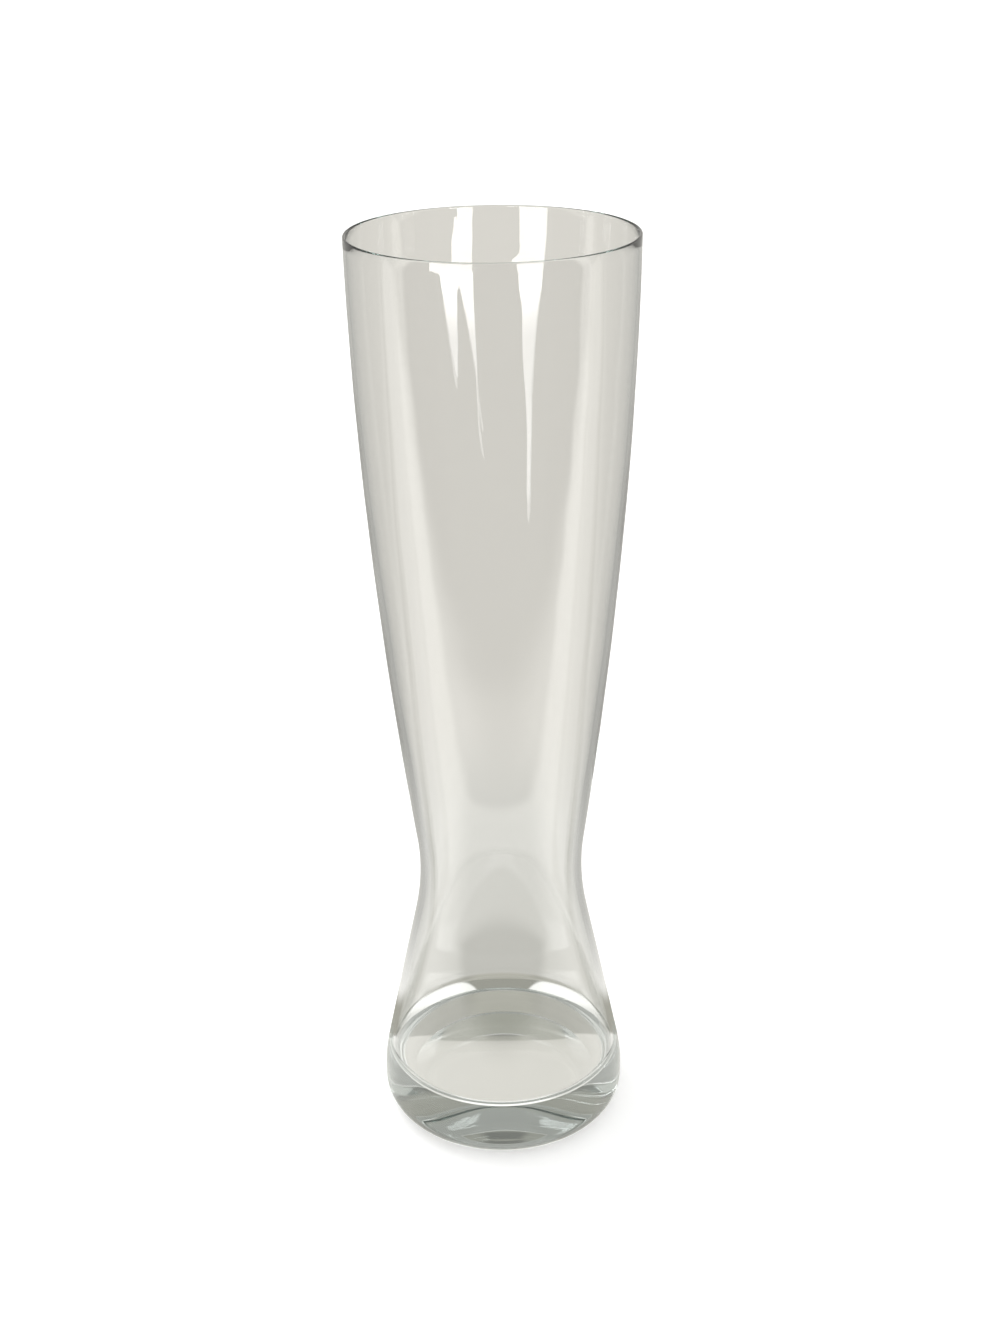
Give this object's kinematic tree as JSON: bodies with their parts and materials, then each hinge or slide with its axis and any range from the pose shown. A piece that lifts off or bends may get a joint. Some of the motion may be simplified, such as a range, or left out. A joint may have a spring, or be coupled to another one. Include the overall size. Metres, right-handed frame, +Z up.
{
  "type": "pilsner glass",
  "caption": "Tall clear drinking glass with a flared upper bowl, a narrow waist and a bell-shaped lower bowl on a heavy base; holds a drink and stands on its foot ring.",
  "frame": {"origin": "centre of the circle that the foot ring stands on, at table height", "axes": "+Z up along the axis that the glass is turned about, from the foot to the rim; X and Y are alike"},
  "size_m": [0.076, 0.076, 0.2643],
  "materials": {
    "clear_glass": "clear, fire polished"
  },
  "bodies": {
    "root": {"upper_bowl": "clear_glass", "lower_bowl": "clear_glass", "base": "clear_glass"}
  },
  "joints": []
}
